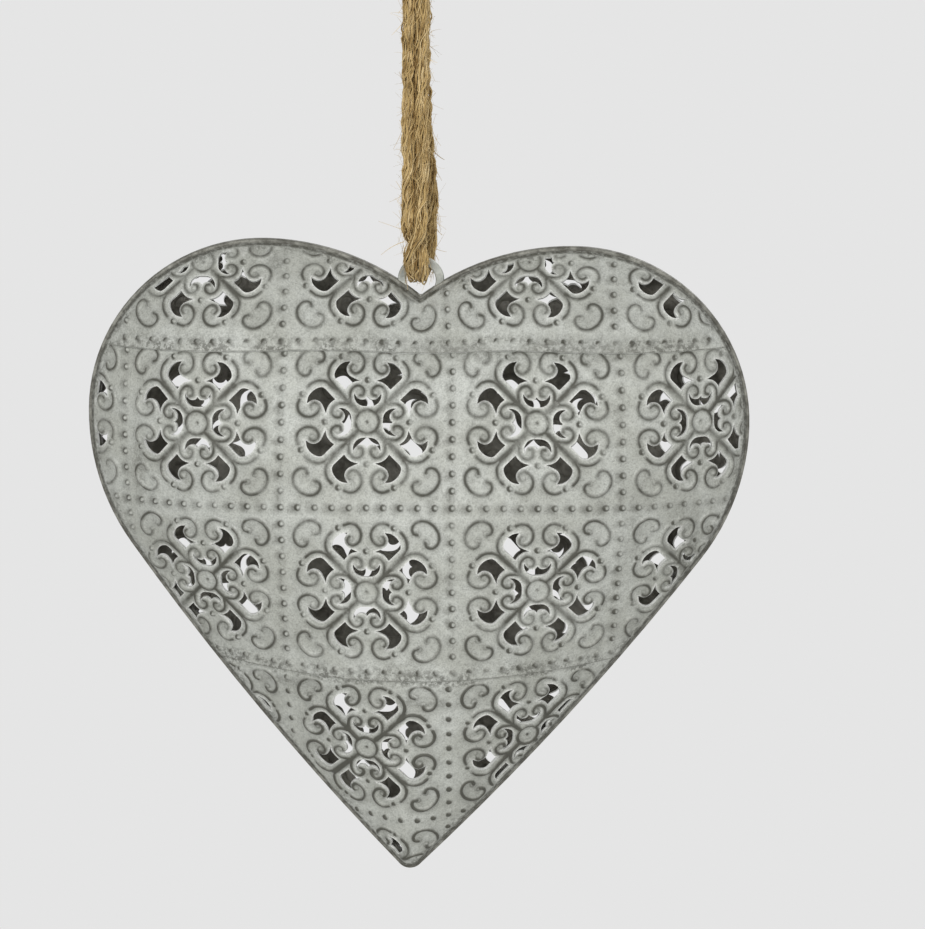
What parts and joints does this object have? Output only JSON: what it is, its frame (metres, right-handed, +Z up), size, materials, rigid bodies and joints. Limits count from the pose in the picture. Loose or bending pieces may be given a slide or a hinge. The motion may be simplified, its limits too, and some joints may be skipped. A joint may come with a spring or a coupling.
{
  "type": "hanging tin heart ornament",
  "caption": "Puffed heart of pierced and embossed tin shells made of lapped strips, welded at the rim, hung by an eye on a knotted jute loop.",
  "frame": {"origin": "the point just under the cord's knot, between the two legs of the loop, where a hook or nail carries the ornament", "axes": "+Z up along the hanging cord, front of the heart facing -Y, +X to the right as seen from the front"},
  "size_m": [0.1204, 0.0357, 0.1861],
  "materials": {
    "antique_tin": "zinc-grey tin with a dark antique wash in its hollows",
    "dark_weld": "ground weld bead, darker than the sheet",
    "plain_steel": "stamped steel ring with a dull grey finish",
    "jute": "hairy natural jute, loosely twisted"
  },
  "bodies": {
    "cord": {"jute_cord": "jute", "cord_knot": "jute"},
    "heart": {"front_top_strip": "antique_tin", "front_middle_strip": "antique_tin", "front_bottom_strip": "antique_tin", "back_top_strip": "antique_tin", "back_middle_strip": "antique_tin", "back_bottom_strip": "antique_tin", "rim_weld": "dark_weld", "hanging_eye": "plain_steel"}
  },
  "joints": [
    {"name": "heart_sway", "type": "hinge", "parent": "cord", "child": "heart", "pos_m": [0, 0, -0.054], "axis": [0, 1, 0], "range_deg": [-45, 45]}
  ]
}
